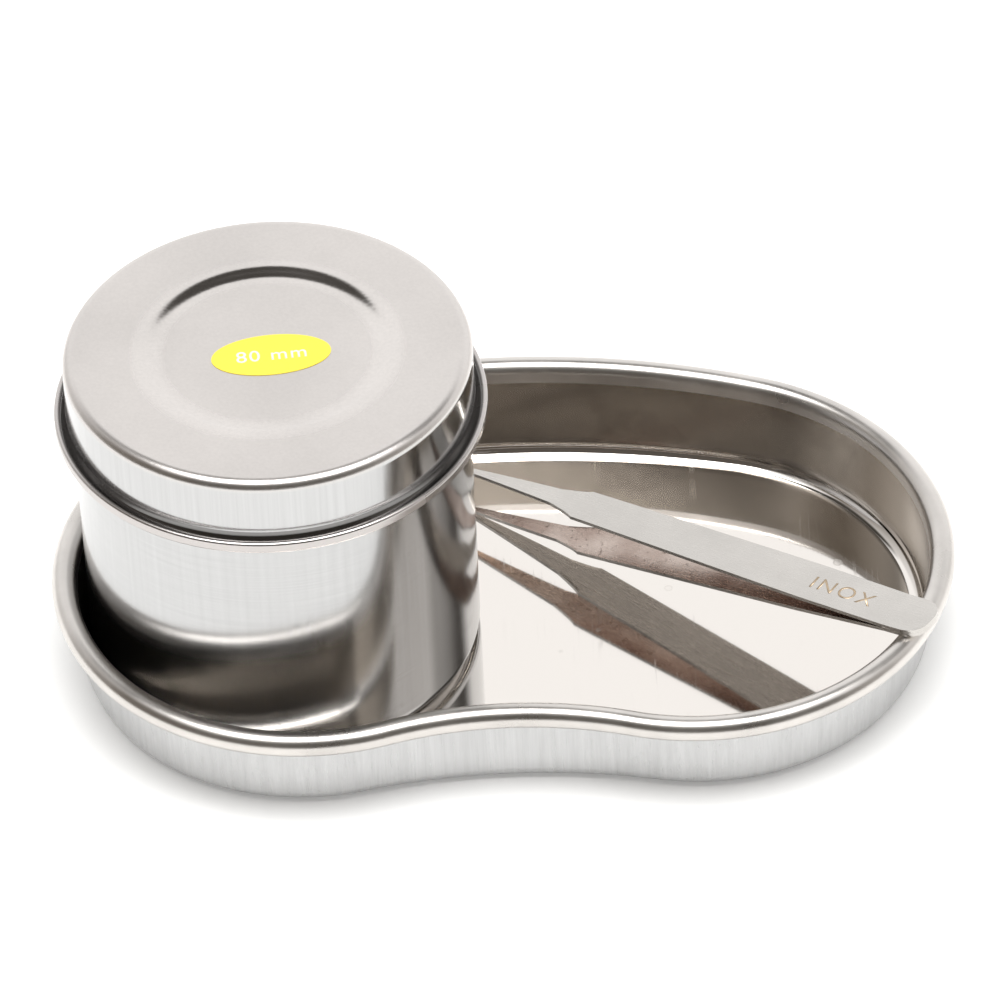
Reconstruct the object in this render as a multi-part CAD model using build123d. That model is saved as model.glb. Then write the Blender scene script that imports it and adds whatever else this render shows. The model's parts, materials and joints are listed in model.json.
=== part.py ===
from build123d import *
import math
import os

# A dressing set in stainless steel: a kidney tray, a lidded jar standing in its left
# lobe, and a pair of tweezers lying in it with the butt on the rim.
# Millimetres. +X runs along the tray, +Y points to its outward-curved back, +Z is up.
# The origin is the middle of the tray's footprint, on the surface that it stands on.

# ---- kidney tray -----------------------------------------------------------------
TRAY_SHEET = 0.8            # thickness of the pressed sheet
TRAY_HEIGHT = 22.0          # underside of the floor to the top of the bead
LOBE_X = 36.0               # lobe centres lie this far each side of the middle
CORNER_TURN = -35.0         # direction where an end arc hands over to its front corner
BEAD_DIAMETER = 5.0         # rolled rim, outside
BEAD_CLOSING = 300.0        # degrees that the sheet turns before its edge meets the wall
RIM_END_RADIUS = 56.0       # outline of the bead's outer edge
RIM_CORNER_RADIUS = 52.0
RIM_BACK_RADIUS = 161.0
RIM_FRONT_RADIUS = 81.0
END_DRAFT = 5.1             # the floor's outline lies this far inside the rim's
CORNER_DRAFT = 5.8
BASE_BACK_RADIUS = 205.0    # the floor's own long curves are flatter than the rim's
BASE_FRONT_RADIUS = 130.0
COVE_RADIUS = 2.7           # inside radius between the floor and the wall

# ---- jar ---------------------------------------------------------------------------
JAR_SHEET = 0.6
JAR_RADIUS = 40.0           # outside of the drawn cup, which is sold as 80 mm
JAR_BASE_ROUNDING = 3.6     # outside radius where the wall meets the bottom
JAR_TOTAL_HEIGHT = 75.0     # bottom of the jar to the top of the closed lid
JAR_LEAN = 159.0            # direction, from the lobe's centre, in which the jar is pushed
JAR_WALL_GAP = 0.3          # at least this much between the jar and the tray's wall
MOUTH_ROUNDING = 0.25

# ---- lid ---------------------------------------------------------------------------
LID_SHEET = 0.6
LID_FIT = 0.4               # radial clearance of the slip fit on the jar
LID_DEPTH = 15.8            # top of the lid to the bottom of its lip
LID_EDGE_ROUNDING = 2.2
RECESS_RADIUS = 22.0        # flat middle of the top
RECESS_SLOPE = 4.4          # width of the sloped band round it
RECESS_DEPTH = 0.7
FLARE_RADIUS = 3.8          # hollow curve between the skirt and the lip
FLARE_TURN = 49.0           # degrees that the flare turns outwards
LIP_WIDTH = 1.2             # folded edge, across
LIP_HEIGHT = 2.4

# ---- label -------------------------------------------------------------------------
LABEL_LENGTH = 24.0
LABEL_WIDTH = 12.2
LABEL_THICKNESS = 0.12
LABEL_SHIFT = (0.8, -1.2)   # from the lid's axis
LABEL_TURN = 5.5            # degrees

# ---- tweezers ----------------------------------------------------------------------
BLADE_SHEET = 0.8
TWEEZER_LENGTH = 115.5
BUTT_WIDTH = 10.4
BUTT_ROUNDING = 4.2
GRIP_WIDTH = 10.8           # widest place of the grip
GRIP_AT = 30.0              # its distance from the butt
NECK_WIDTH = 8.8            # end of the broad part
NECK_AT = 84.5
SHANK_WIDTH = 4.7           # start of the fine tip
SHANK_AT = 91.0
TIP_WIDTH = 0.9
WELD_LENGTH = 8.0           # the two blades lie face to face for this far
ROOT_BEND_RADIUS = 12.0
SPLAY_ANGLE = 3.2           # degrees that each blade leaves the middle plane
RETURN_AT = 75.0            # the blade starts to bend back here
RETURN_RADIUS = 690.0
RETURN_ANGLE = 2.9
BUTT_OVERHANG = 1.0         # the butt's end passes the bead's outer edge by this much
BUTT_DIRECTION = -29.4      # direction of the butt's end from the right lobe's centre
TIP_JAR_GAP = 10.0          # seen from above, between the tips and the jar's wall

SEAT_GAP = 0.1              # left between pieces that only rest on each other

# ---- places that follow from the sizes ----------------------------------------------
BEAD_RADIUS = BEAD_DIAMETER / 2


def front_corner_centre(end_radius, corner_radius):
    """Centre of the right front corner's arc, tangent inside the end arc."""
    turn = math.radians(CORNER_TURN)
    step = end_radius - corner_radius
    return LOBE_X + step * math.cos(turn), step * math.sin(turn)


BASE_END_RADIUS = RIM_END_RADIUS - END_DRAFT
BASE_CORNER_RADIUS = RIM_CORNER_RADIUS - CORNER_DRAFT

RIM_BACK_REACH = RIM_BACK_RADIUS - math.sqrt((RIM_BACK_RADIUS - RIM_END_RADIUS) ** 2 - LOBE_X ** 2)
RIM_FRONT_REACH = RIM_CORNER_RADIUS - front_corner_centre(RIM_END_RADIUS, RIM_CORNER_RADIUS)[1]
LOBE_Y = (RIM_FRONT_REACH - RIM_BACK_REACH) / 2

FLOOR_TOP = TRAY_SHEET
JAR_BOTTOM = FLOOR_TOP + SEAT_GAP
JAR_STAND_OFF = max(JAR_WALL_GAP, COVE_RADIUS - JAR_BASE_ROUNDING)
JAR_SHIFT = BASE_END_RADIUS - TRAY_SHEET - JAR_STAND_OFF - JAR_RADIUS
JAR_X = -LOBE_X + JAR_SHIFT * math.cos(math.radians(JAR_LEAN))
JAR_Y = LOBE_Y + JAR_SHIFT * math.sin(math.radians(JAR_LEAN))

LID_RADIUS = JAR_RADIUS + LID_FIT + LID_SHEET
LID_TOP = JAR_BOTTOM + JAR_TOTAL_HEIGHT
EDGE_CENTRE_RADIUS = LID_RADIUS - LID_EDGE_ROUNDING
MOUTH_REACH = LID_EDGE_ROUNDING - LID_SHEET - SEAT_GAP
JAR_MOUTH = (LID_TOP - LID_EDGE_ROUNDING
             + math.sqrt(MOUTH_REACH ** 2 - (JAR_RADIUS - EDGE_CENTRE_RADIUS) ** 2))

BUTT_REACH = RIM_END_RADIUS + BUTT_OVERHANG
BUTT_X = LOBE_X + BUTT_REACH * math.cos(math.radians(BUTT_DIRECTION))
BUTT_Y = LOBE_Y + BUTT_REACH * math.sin(math.radians(BUTT_DIRECTION))
JAR_AWAY = math.hypot(JAR_X - BUTT_X, JAR_Y - BUTT_Y)
TIP_REACH = JAR_RADIUS + TIP_JAR_GAP
HEADING = (math.degrees(math.atan2(JAR_Y - BUTT_Y, JAR_X - BUTT_X))
           - math.degrees(math.acos((JAR_AWAY ** 2 + TWEEZER_LENGTH ** 2 - TIP_REACH ** 2)
                                    / (2 * JAR_AWAY * TWEEZER_LENGTH))))


class Arc:
    """One arc of an outline seen from above, with its direction out of the tray."""

    def __init__(self, centre, radius, start, turn, outward):
        self.centre = centre
        self.radius = radius
        self.start = start
        self.turn = turn
        self.outward = outward      # +1 where outwards is away from the centre


def kidney_arcs(end_radius, corner_radius, back_radius, front_radius):
    """Six tangent arcs, anticlockwise from the right lobe's front tangent point."""
    corner_x, corner_y = front_corner_centre(end_radius, corner_radius)
    back_drop = math.sqrt((back_radius - end_radius) ** 2 - LOBE_X ** 2)
    front_drop = math.sqrt((front_radius + corner_radius) ** 2 - corner_x ** 2)
    back_angle = math.degrees(math.atan2(back_drop, LOBE_X))
    front_angle = math.degrees(math.atan2(front_drop, corner_x))
    corner_y += LOBE_Y
    right_end = Arc((LOBE_X, LOBE_Y), end_radius, CORNER_TURN, back_angle - CORNER_TURN, 1)
    back = Arc((0, LOBE_Y - back_drop), back_radius, back_angle, 180 - 2 * back_angle, 1)
    left_end = Arc((-LOBE_X, LOBE_Y), end_radius, 180 - back_angle, back_angle - CORNER_TURN, 1)
    corner_size = CORNER_TURN + 180 - front_angle
    left_corner = Arc((-corner_x, corner_y), corner_radius, 180 - CORNER_TURN, corner_size, 1)
    front = Arc((0, corner_y - front_drop), front_radius, 180 - front_angle, 2 * front_angle - 180, -1)
    right_corner = Arc((corner_x, corner_y), corner_radius, front_angle - 180, corner_size, 1)
    return [right_end, back, left_end, left_corner, front, right_corner]


def kidney_face(radii, inset, height):
    """Flat kidney-shaped face, inset from the outline by a distance, at a height."""
    end_radius, corner_radius, back_radius, front_radius = radii
    arcs = kidney_arcs(end_radius - inset, corner_radius - inset, back_radius - inset, front_radius + inset)
    edges = [CenterArc(arc.centre, arc.radius, arc.start, arc.turn) for arc in arcs]
    return Pos(0, 0, height) * make_face(Curve() + edges)


RIM = (RIM_END_RADIUS, RIM_CORNER_RADIUS, RIM_BACK_RADIUS, RIM_FRONT_RADIUS)
BASE = (BASE_END_RADIUS, BASE_CORNER_RADIUS, BASE_BACK_RADIUS, BASE_FRONT_RADIUS)


def bead_segment(arc):
    """The rolled rim along one arc: an open curl turned about the arc's centre."""
    start = arc.start if arc.turn > 0 else arc.start + arc.turn
    radial = math.radians(start)
    section_plane = Plane(
        origin=(arc.centre[0], arc.centre[1], 0),
        x_dir=(math.cos(radial), math.sin(radial), 0),
        z_dir=(math.sin(radial), -math.cos(radial), 0),
    )
    middle = (arc.radius - arc.outward * BEAD_RADIUS, TRAY_HEIGHT - BEAD_RADIUS)
    first = 180 if arc.outward > 0 else 0
    turn = -arc.outward * BEAD_CLOSING
    outer = CenterArc(middle, BEAD_RADIUS, first, turn)
    inner = CenterArc(middle, BEAD_RADIUS - TRAY_SHEET, first, turn)
    section = make_face(Curve() + [outer, inner, Line(outer @ 0, inner @ 0), Line(outer @ 1, inner @ 1)])
    axis = Axis((arc.centre[0], arc.centre[1], 0), (0, 0, 1))
    return revolve(section_plane * section, axis, abs(arc.turn))


def kidney_tray():
    """One pressed sheet: flat floor, coved wall and a bead rolled outwards."""
    wall_top = TRAY_HEIGHT - BEAD_RADIUS
    outside = loft([kidney_face(BASE, 0, 0),
                    kidney_face(RIM, BEAD_DIAMETER - TRAY_SHEET, wall_top)], ruled=True)
    outside = fillet(outside.edges().group_by(Axis.Z)[0], COVE_RADIUS + TRAY_SHEET)
    inside = loft([kidney_face(BASE, TRAY_SHEET, FLOOR_TOP),
                   kidney_face(RIM, BEAD_DIAMETER, wall_top)], ruled=True)
    inside = fillet(inside.edges().group_by(Axis.Z)[0], COVE_RADIUS)
    tray = outside - inside
    for arc in kidney_arcs(*RIM):
        tray += bead_segment(arc)
    return tray


def round_corner(face, x, y, radius):
    """Round the corner of a flat section that lies nearest to a point."""
    corner = face.vertices().sort_by_distance((x, y, 0))[0]
    return fillet(corner, radius)


def jar_body():
    """Deep-drawn cup with a plain mouth, turned about its own axis."""
    inner_radius = JAR_RADIUS - JAR_SHEET
    height = JAR_MOUTH - JAR_BOTTOM
    corners = [(0, 0), (JAR_RADIUS, 0), (JAR_RADIUS, height), (inner_radius, height),
               (inner_radius, JAR_SHEET), (0, JAR_SHEET)]
    section = make_face(Polyline(*corners, close=True))
    section = round_corner(section, JAR_RADIUS, 0, JAR_BASE_ROUNDING)
    section = round_corner(section, inner_radius, JAR_SHEET, JAR_BASE_ROUNDING - JAR_SHEET)
    section = round_corner(section, JAR_RADIUS, height, MOUTH_ROUNDING)
    section = round_corner(section, inner_radius, height, MOUTH_ROUNDING)
    return Pos(JAR_X, JAR_Y, JAR_BOTTOM) * revolve(Plane.XZ * section, Axis.Z)


def jar_lid():
    """Drawn cap: recessed top, rounded edge, straight skirt, flare and folded lip."""
    slope_turn = 2 * math.degrees(math.atan2(RECESS_DEPTH, RECESS_SLOPE))
    slope_radius = RECESS_SLOPE / 2 / math.sin(math.radians(slope_turn))
    lip_middle_z = -LID_DEPTH + LIP_HEIGHT / 2
    flare_out = FLARE_RADIUS * (1 - math.cos(math.radians(FLARE_TURN)))
    flare_start = lip_middle_z + FLARE_RADIUS * math.sin(math.radians(FLARE_TURN))
    middle = Line((0, -RECESS_DEPTH), (RECESS_RADIUS, -RECESS_DEPTH))
    rise = JernArc(middle @ 1, middle % 1, slope_radius, slope_turn)
    level = JernArc(rise @ 1, rise % 1, slope_radius, -slope_turn)
    shoulder = Line(level @ 1, (EDGE_CENTRE_RADIUS, 0))
    edge = JernArc(shoulder @ 1, shoulder % 1, LID_EDGE_ROUNDING, -90)
    skirt = Line(edge @ 1, (LID_RADIUS, flare_start))
    flare = JernArc(skirt @ 1, skirt % 1, FLARE_RADIUS, FLARE_TURN)
    lap = Line(flare @ 1, flare @ 1 + (flare % 1) * LIP_WIDTH / 2)
    outside = Wire([middle, rise, level, shoulder, edge, skirt, flare, lap])
    section = make_face(outside.offset_2d(LID_SHEET, side=Side.RIGHT).edges())
    lip = SlotOverall(LIP_HEIGHT, LIP_WIDTH, rotation=90)
    lip = Pos(LID_RADIUS + flare_out + LIP_WIDTH / 2, lip_middle_z) * lip
    cap = revolve(Plane.XZ * section, Axis.Z) + revolve(Plane.XZ * lip, Axis.Z)
    return Pos(JAR_X, JAR_Y, LID_TOP) * cap


def lid_label():
    """Thin oval sticker on the flat of the recess."""
    oval = extrude(Ellipse(LABEL_LENGTH / 2, LABEL_WIDTH / 2), LABEL_THICKNESS)
    place = Pos(JAR_X + LABEL_SHIFT[0], JAR_Y + LABEL_SHIFT[1], LID_TOP - RECESS_DEPTH)
    return place * Rot(0, 0, LABEL_TURN) * oval


def blade_outline():
    """One blade seen from above: butt on the origin, tip along +X."""
    taper = Line((SHANK_AT, SHANK_WIDTH / 2), (TWEEZER_LENGTH - TIP_WIDTH / 2, TIP_WIDTH / 2))
    neck = TangentArc((SHANK_AT, SHANK_WIDTH / 2), (NECK_AT, NECK_WIDTH / 2), tangent=-(taper % 0))
    grip = Polyline((NECK_AT, NECK_WIDTH / 2), (GRIP_AT, GRIP_WIDTH / 2), (0, BUTT_WIDTH / 2), (0, 0))
    tip = Line((TWEEZER_LENGTH - TIP_WIDTH / 2, TIP_WIDTH / 2), (TWEEZER_LENGTH - TIP_WIDTH / 2, 0))
    middle = Line((TWEEZER_LENGTH - TIP_WIDTH / 2, 0), (0, 0))
    half = make_face(Curve() + [taper, neck, grip, tip, middle])
    outline = half + mirror(half, Plane.XZ)
    outline += Pos(TWEEZER_LENGTH - TIP_WIDTH / 2, 0) * Circle(TIP_WIDTH / 2)
    butt_corners = outline.vertices().group_by(Axis.X)[0]
    return fillet(butt_corners, BUTT_ROUNDING)


def blade_path():
    """Inner face of the upper blade in the side view, from the butt to the tip."""
    weld = Line((0, 0), (WELD_LENGTH, 0))
    root = JernArc(weld @ 1, weld % 1, ROOT_BEND_RADIUS, SPLAY_ANGLE)
    grip_length = (RETURN_AT - WELD_LENGTH) / math.cos(math.radians(SPLAY_ANGLE))
    grip = Line(root @ 1, root @ 1 + (root % 1) * grip_length)
    bend = JernArc(grip @ 1, grip % 1, RETURN_RADIUS, -RETURN_ANGLE)
    tip = Line(bend @ 1, bend @ 1 + (bend % 1) * TWEEZER_LENGTH)
    return Curve() + [weld, root, grip, bend, tip]


def blade():
    """Upper blade at the origin: its welded inner face on the XY plane."""
    side = make_face(offset(blade_path(), BLADE_SHEET, side=Side.LEFT))
    strip = extrude(Plane.XZ * side, BUTT_WIDTH + GRIP_WIDTH, both=True)
    return strip & extrude(blade_outline(), TWEEZER_LENGTH / 2, both=True)


def crest_distance(side):
    """How far along one edge of the butt the bead's crest passes under it."""
    along = (math.cos(math.radians(HEADING)), math.sin(math.radians(HEADING)))
    x = BUTT_X - LOBE_X - along[1] * side
    y = BUTT_Y - LOBE_Y + along[0] * side
    inward = x * along[0] + y * along[1]
    crest_radius = RIM_END_RADIUS - BEAD_RADIUS
    return -inward - math.sqrt(inward ** 2 - (x ** 2 + y ** 2 - crest_radius ** 2))


def butt_place(upper_blade):
    """Where the tweezers lie: butt on the bead, lower tip on the floor."""
    rest_at = max(crest_distance(side * BUTT_WIDTH / 2) for side in (-1, 1))
    splay = upper_blade.bounding_box().max.Z - BLADE_SHEET
    span = TWEEZER_LENGTH - rest_at
    pitch = math.asin((TRAY_HEIGHT - FLOOR_TOP - splay) / span)
    under_butt = TRAY_HEIGHT - BEAD_RADIUS + (BEAD_RADIUS + SEAT_GAP) / math.cos(pitch)
    z = under_butt + BLADE_SHEET * math.cos(pitch) + rest_at * math.sin(pitch)
    return Pos(BUTT_X, BUTT_Y, z) * Rot(0, 0, HEADING) * Rot(0, math.degrees(pitch), 0)


def make_parts():
    """All the pieces, by node name, each in its place at rest."""
    upper_blade = blade()
    lie = butt_place(upper_blade)
    return {
        "kidney_tray": kidney_tray(),
        "jar_body": jar_body(),
        "jar_lid": jar_lid(),
        "lid_label": lid_label(),
        "tweezer_upper_arm": lie * upper_blade,
        "tweezer_lower_arm": lie * mirror(upper_blade, Plane.XY),
    }


os.makedirs("parts", exist_ok=True)
for name, shape in make_parts().items():
    shape.label = name
    export_step(shape, f"parts/{name}.step")
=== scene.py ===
"""Looks of a stainless steel dressing set: a kidney tray, a lidded jar and tweezers.

Everything is in metres, in the frame of the loaded model: +X along the tray, +Y to its
outward-curved back, +Z up, with the origin under the middle of the tray.
"""

import json
import math

import bmesh
import bpy
from bpy.props import FloatProperty, FloatVectorProperty, IntProperty, PointerProperty, StringProperty
from mathutils import Matrix, Vector


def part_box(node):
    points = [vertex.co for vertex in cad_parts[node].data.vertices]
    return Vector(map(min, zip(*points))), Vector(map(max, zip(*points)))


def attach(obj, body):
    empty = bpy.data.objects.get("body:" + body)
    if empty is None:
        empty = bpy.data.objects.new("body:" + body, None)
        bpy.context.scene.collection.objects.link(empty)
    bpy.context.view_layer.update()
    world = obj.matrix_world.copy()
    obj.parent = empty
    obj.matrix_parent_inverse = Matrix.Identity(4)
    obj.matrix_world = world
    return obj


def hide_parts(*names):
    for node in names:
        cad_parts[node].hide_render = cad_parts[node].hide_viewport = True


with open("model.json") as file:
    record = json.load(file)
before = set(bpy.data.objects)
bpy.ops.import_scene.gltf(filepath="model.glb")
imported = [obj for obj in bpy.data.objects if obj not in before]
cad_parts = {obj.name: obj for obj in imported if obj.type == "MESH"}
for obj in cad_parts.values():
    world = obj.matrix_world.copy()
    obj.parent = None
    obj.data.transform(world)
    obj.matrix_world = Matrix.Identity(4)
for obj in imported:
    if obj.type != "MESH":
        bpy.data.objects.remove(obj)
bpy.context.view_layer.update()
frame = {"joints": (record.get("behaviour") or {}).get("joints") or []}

bl_info = {
    "name": "Dressing Set",
    "version": (1, 0, 0),
    "blender": (4, 5, 0),
    "location": "View3D > Sidebar > Dressing Set",
    "description": "Builds a steel kidney tray with a lidded jar and tweezers, and its stage",
    "category": "Add Mesh",
}

MM = 0.001
QUARTER = math.pi / 2
GRAIN_DEPTH = 0.2 * MM      # height of the surface grain that the bump nodes stand for
SKIRT_EDGE = 0.04           # mm outside the skirt's radius where the flare's painted dark reflection band starts
FLARE_EDGE = 1.28           # mm outside the skirt's radius where it ends and the lip starts
NECK_SWELL = 0.75           # power that hollows the outline between the neck and the shank
INSIDE, OUTSIDE, BEAD = 0, 1, 2     # places in the tray's list of materials

TRAY_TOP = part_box("kidney_tray")[1][2]
JAR_LOW, JAR_HIGH = (Vector(corner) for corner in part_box("jar_body"))
LID_LOW, LID_HIGH = (Vector(corner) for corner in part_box("jar_lid"))
LABEL_LOW, LABEL_HIGH = (Vector(corner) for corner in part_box("lid_label"))
ARM_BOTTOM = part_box("tweezer_lower_arm")[0][2]
SQUEEZE = next(joint for joint in frame["joints"] if joint["name"] == "tweezers_squeeze")
JAR_AXIS = (JAR_LOW + JAR_HIGH) / 2


def length(label, millimetres, description, least=0.0):
    """A length property, written in millimetres and kept in metres."""
    return FloatProperty(name=label, description=description, default=millimetres * MM, min=least,
                         subtype="DISTANCE", unit="LENGTH", precision=5)


def amount(label, value, description):
    """A plain number from nothing to one."""
    return FloatProperty(name=label, description=description, default=value, min=0.0, max=1.0,
                         subtype="FACTOR")


def angle(label, degrees, description):
    """An angle property, kept in radians."""
    return FloatProperty(name=label, description=description, default=math.radians(degrees),
                         subtype="ANGLE", unit="ROTATION")


def colour(label, value, description):
    """A linear colour property."""
    return FloatVectorProperty(name=label, description=description, default=value, size=3,
                               subtype="COLOR", min=0.0, max=1.0)


class TraySettings(bpy.types.PropertyGroup):
    """Sizes and finish of the pressed tray."""

    sheet: length("Sheet", 0.8, "Thickness of the pressed sheet")
    bead: length("Bead", 5.0, "Outside diameter of the rolled rim")
    bead_closing: angle("Bead closing", 300, "How far the sheet turns before its edge meets the wall")
    cove: length("Cove", 2.7, "Inside radius between the floor and the wall")
    lobe_x: length("Lobe distance", 36.0, "Each lobe's centre from the tray's middle")
    corner_turn: angle("Corner turn", -35, "Where an end arc hands over to its front corner")
    rim_end: length("Rim end radius", 56.0, "Rim outline round each lobe's end")
    rim_corner: length("Rim corner radius", 52.0, "Rim outline round each front corner")
    rim_back: length("Rim back radius", 161.0, "Rim outline along the back")
    rim_front: length("Rim front radius", 81.0, "Rim outline along the hollow front")
    base_end: length("Base end radius", 50.9, "Floor outline round each lobe's end")
    base_corner: length("Base corner radius", 46.2, "Floor outline round each front corner")
    base_back: length("Base back radius", 205.0, "Floor outline along the back")
    base_front: length("Base front radius", 130.0, "Floor outline along the hollow front")
    spacing: length("Facet length", 1.5, "Length of one facet along the outline")
    steel: colour("Steel", (0.80, 0.76, 0.72), "Colour of the polished steel")
    bead_steel: colour("Bead steel", (0.66, 0.63, 0.60), "Colour of the rolled rim")
    outside_steel: colour("Outside steel", (0.56, 0.56, 0.56), "Colour of the satin outside")
    roughness: amount("Roughness", 0.06, "Roughness of the polished inside")
    wall_haze: amount("Wall haze", 0.16, "Extra roughness of the inner wall")


class JarSettings(bpy.types.PropertyGroup):
    """Sizes and finish of the drawn jar."""

    sheet: length("Sheet", 0.6, "Thickness of the drawn sheet")
    base_rounding: length("Base rounding", 3.6, "Outside radius between the wall and the bottom")
    mouth_rounding: length("Mouth rounding", 0.25, "Radius of the mouth's edges")
    steps: IntProperty(name="Steps", description="Facets round the jar", default=240, min=24)
    steel: colour("Steel", (0.54, 0.54, 0.54), "Colour of the polished steel")
    roughness: amount("Roughness", 0.12, "Roughness of the polished wall")


class LidSettings(bpy.types.PropertyGroup):
    """Sizes and finish of the drawn lid and its label."""

    sheet: length("Sheet", 0.6, "Thickness of the drawn sheet")
    radius: length("Radius", 41.0, "Outside radius of the skirt")
    edge_rounding: length("Edge rounding", 2.2, "Outside radius between the top and the skirt")
    recess_radius: length("Recess radius", 22.0, "Radius of the flat middle")
    recess_slope: length("Recess slope", 4.4, "Width of the sloped band round the middle")
    recess_depth: length("Recess depth", (LID_HIGH.z - LABEL_LOW.z) / MM,
                         "Depth of the middle below the top")
    flare_radius: length("Flare radius", 3.8, "Hollow curve between the skirt and the lip")
    flare_turn: angle("Flare turn", 49, "How far the flare turns outwards")
    lip_width: length("Lip width", 1.2, "Folded edge, across")
    lip_height: length("Lip height", 2.4, "Folded edge, from top to bottom")
    steps: IntProperty(name="Steps", description="Facets round the lid", default=240, min=24)
    label_turn: angle("Label turn", 5.5, "Turn of the label seen from above")
    label_text: StringProperty(name="Label text", default="80 mm",
                               description="Size printed on the label")
    label_letter: length("Label letter", 3.3, "Height of the print")
    steel: colour("Steel", (0.68, 0.645, 0.62), "Colour of the satin steel")
    skirt_steel: colour("Skirt steel", (0.55, 0.55, 0.55), "Colour of the polished skirt and lip")
    roughness: amount("Top roughness", 0.30, "Roughness of the satin top")
    vinyl: colour("Vinyl", (1.0, 0.80, 0.07), "Colour of the label")


class TweezerSettings(bpy.types.PropertyGroup):
    """Sizes and finish of the two spring arms."""

    sheet: length("Sheet", 0.8, "Thickness of one arm")
    reach: length("Length", 115.5, "Butt to tip")
    butt_width: length("Butt width", 10.4, "Width at the butt")
    butt_rounding: length("Butt rounding", 4.2, "Radius of the butt's corners")
    grip_width: length("Grip width", 10.8, "Widest place of the grip")
    grip_at: length("Grip place", 30.0, "Widest place, from the butt")
    neck_width: length("Neck width", 8.8, "End of the broad part")
    neck_at: length("Neck place", 84.5, "End of the broad part, from the butt")
    shank_width: length("Shank width", 4.7, "Start of the fine tip")
    shank_at: length("Shank place", 91.0, "Start of the fine tip, from the butt")
    tip_width: length("Tip width", 0.9, "Width at the tip")
    weld: length("Weld", 8.0, "The arms lie face to face for this far")
    root_bend: length("Root bend", 12.0, "Radius of the bend after the weld")
    splay: angle("Splay", 3.2, "How far each arm leaves the middle plane")
    return_at: length("Return place", 75.0, "The arm starts to bend back here")
    return_radius: length("Return radius", 690.0, "Radius of the bend back")
    return_turn: angle("Return turn", 2.9, "How far the arm bends back")
    edge: length("Edge rounding", 0.14, "Rounding of the sheared edges")
    mark_text: StringProperty(name="Mark", description="Word etched near the butt", default="INOX")
    mark_letter: length("Mark letter", 3.6, "Height of the etched word")
    mark_at: length("Mark place", 21.0, "Middle of the word, from the butt")
    steel: colour("Steel", (0.60, 0.575, 0.545), "Colour of the brushed steel")
    roughness: amount("Roughness", 0.26, "Roughness of the brushed steel")


class StageSettings(bpy.types.PropertyGroup):
    """Camera, floor and light."""

    azimuth: angle("Azimuth", 0.431, "Camera's turn round the object")
    elevation: angle("Elevation", 41.724, "Camera's height above the horizon")
    roll: angle("Roll", -2.555, "Camera's turn about its own line of sight")
    distance: length("Distance", 1569.955, "Camera to the aimed point")
    aim_x: length("Aim X", -1.361, "Aimed point on the floor", least=-1.0)
    aim_y: length("Aim Y", 38.088, "Aimed point on the floor", least=-1.0)
    lens: FloatProperty(name="Lens", description="Focal length in millimetres on a 36 mm frame",
                        default=272.194, min=1.0)
    floor: colour("Floor", (0.94, 0.94, 0.93), "Colour of the floor")


# ---- meshes ---------------------------------------------------------------------------


def new_piece(bm, name, body, materials, replaces=None):
    """Turns a finished bmesh into an object that rides on a body."""
    mesh = bpy.data.meshes.new(name)
    bm.to_mesh(mesh)
    bm.free()
    mesh.shade_smooth()
    piece = bpy.data.objects.new(name, mesh)
    for material in materials:
        mesh.materials.append(material)
    bpy.context.scene.collection.objects.link(piece)
    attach(piece, body)
    if replaces:
        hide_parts(replaces)
    return piece


def weigh_normals(piece):
    """Keeps large flat faces flat up to their rounded edges."""
    modifier = piece.modifiers.new("weighted_normals", "WEIGHTED_NORMAL")
    modifier.mode = "FACE_AREA"
    modifier.keep_sharp = True


def kidney_arcs(tray, radii):
    """Six tangent arcs as (centre x, centre y, turn), and the first point."""
    end, corner, back, front = radii
    step = end - corner
    corner_x = tray.lobe_x + step * math.cos(tray.corner_turn)
    rim_step = tray.rim_end - tray.rim_corner
    rim_back_drop = math.sqrt((tray.rim_back - tray.rim_end) ** 2 - tray.lobe_x ** 2)
    rim_front_reach = tray.rim_corner - rim_step * math.sin(tray.corner_turn)
    lobe_y = (rim_front_reach - (tray.rim_back - rim_back_drop)) / 2
    corner_y = lobe_y + step * math.sin(tray.corner_turn)
    back_drop = math.sqrt((back - end) ** 2 - tray.lobe_x ** 2)
    front_drop = math.sqrt((front + corner) ** 2 - corner_x ** 2)
    back_angle = math.atan2(back_drop, tray.lobe_x)
    front_angle = math.atan2(front_drop, corner_x)
    end_turn = back_angle - tray.corner_turn
    corner_size = tray.corner_turn + math.pi - front_angle
    arcs = [
        (tray.lobe_x, lobe_y, end_turn, end),
        (0, lobe_y - back_drop, math.pi - 2 * back_angle, back),
        (-tray.lobe_x, lobe_y, end_turn, end),
        (-corner_x, corner_y, corner_size, corner),
        (0, corner_y - front_drop, 2 * front_angle - math.pi, front),
        (corner_x, corner_y, corner_size, corner),
    ]
    start = Vector((tray.lobe_x + end * math.cos(tray.corner_turn),
                    lobe_y + end * math.sin(tray.corner_turn), 0))
    return arcs, start


def kidney_steps(tray):
    """Facets along each of the six arcs, the same for every outline."""
    arcs, _ = kidney_arcs(tray, (tray.rim_end, tray.rim_corner, tray.rim_back, tray.rim_front))
    return [max(4, round(abs(turn) * radius / tray.spacing)) for _, _, turn, radius in arcs]


def spin(bm, geometry, centre, turn, steps, merge):
    """Turns geometry about an upright axis."""
    bmesh.ops.spin(bm, geom=geometry, cent=centre, axis=(0, 0, 1), dvec=(0, 0, 0), angle=turn,
                   steps=steps, use_merge=merge, use_normal_flip=False, use_duplicate=False,
                   space=Matrix())


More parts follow.
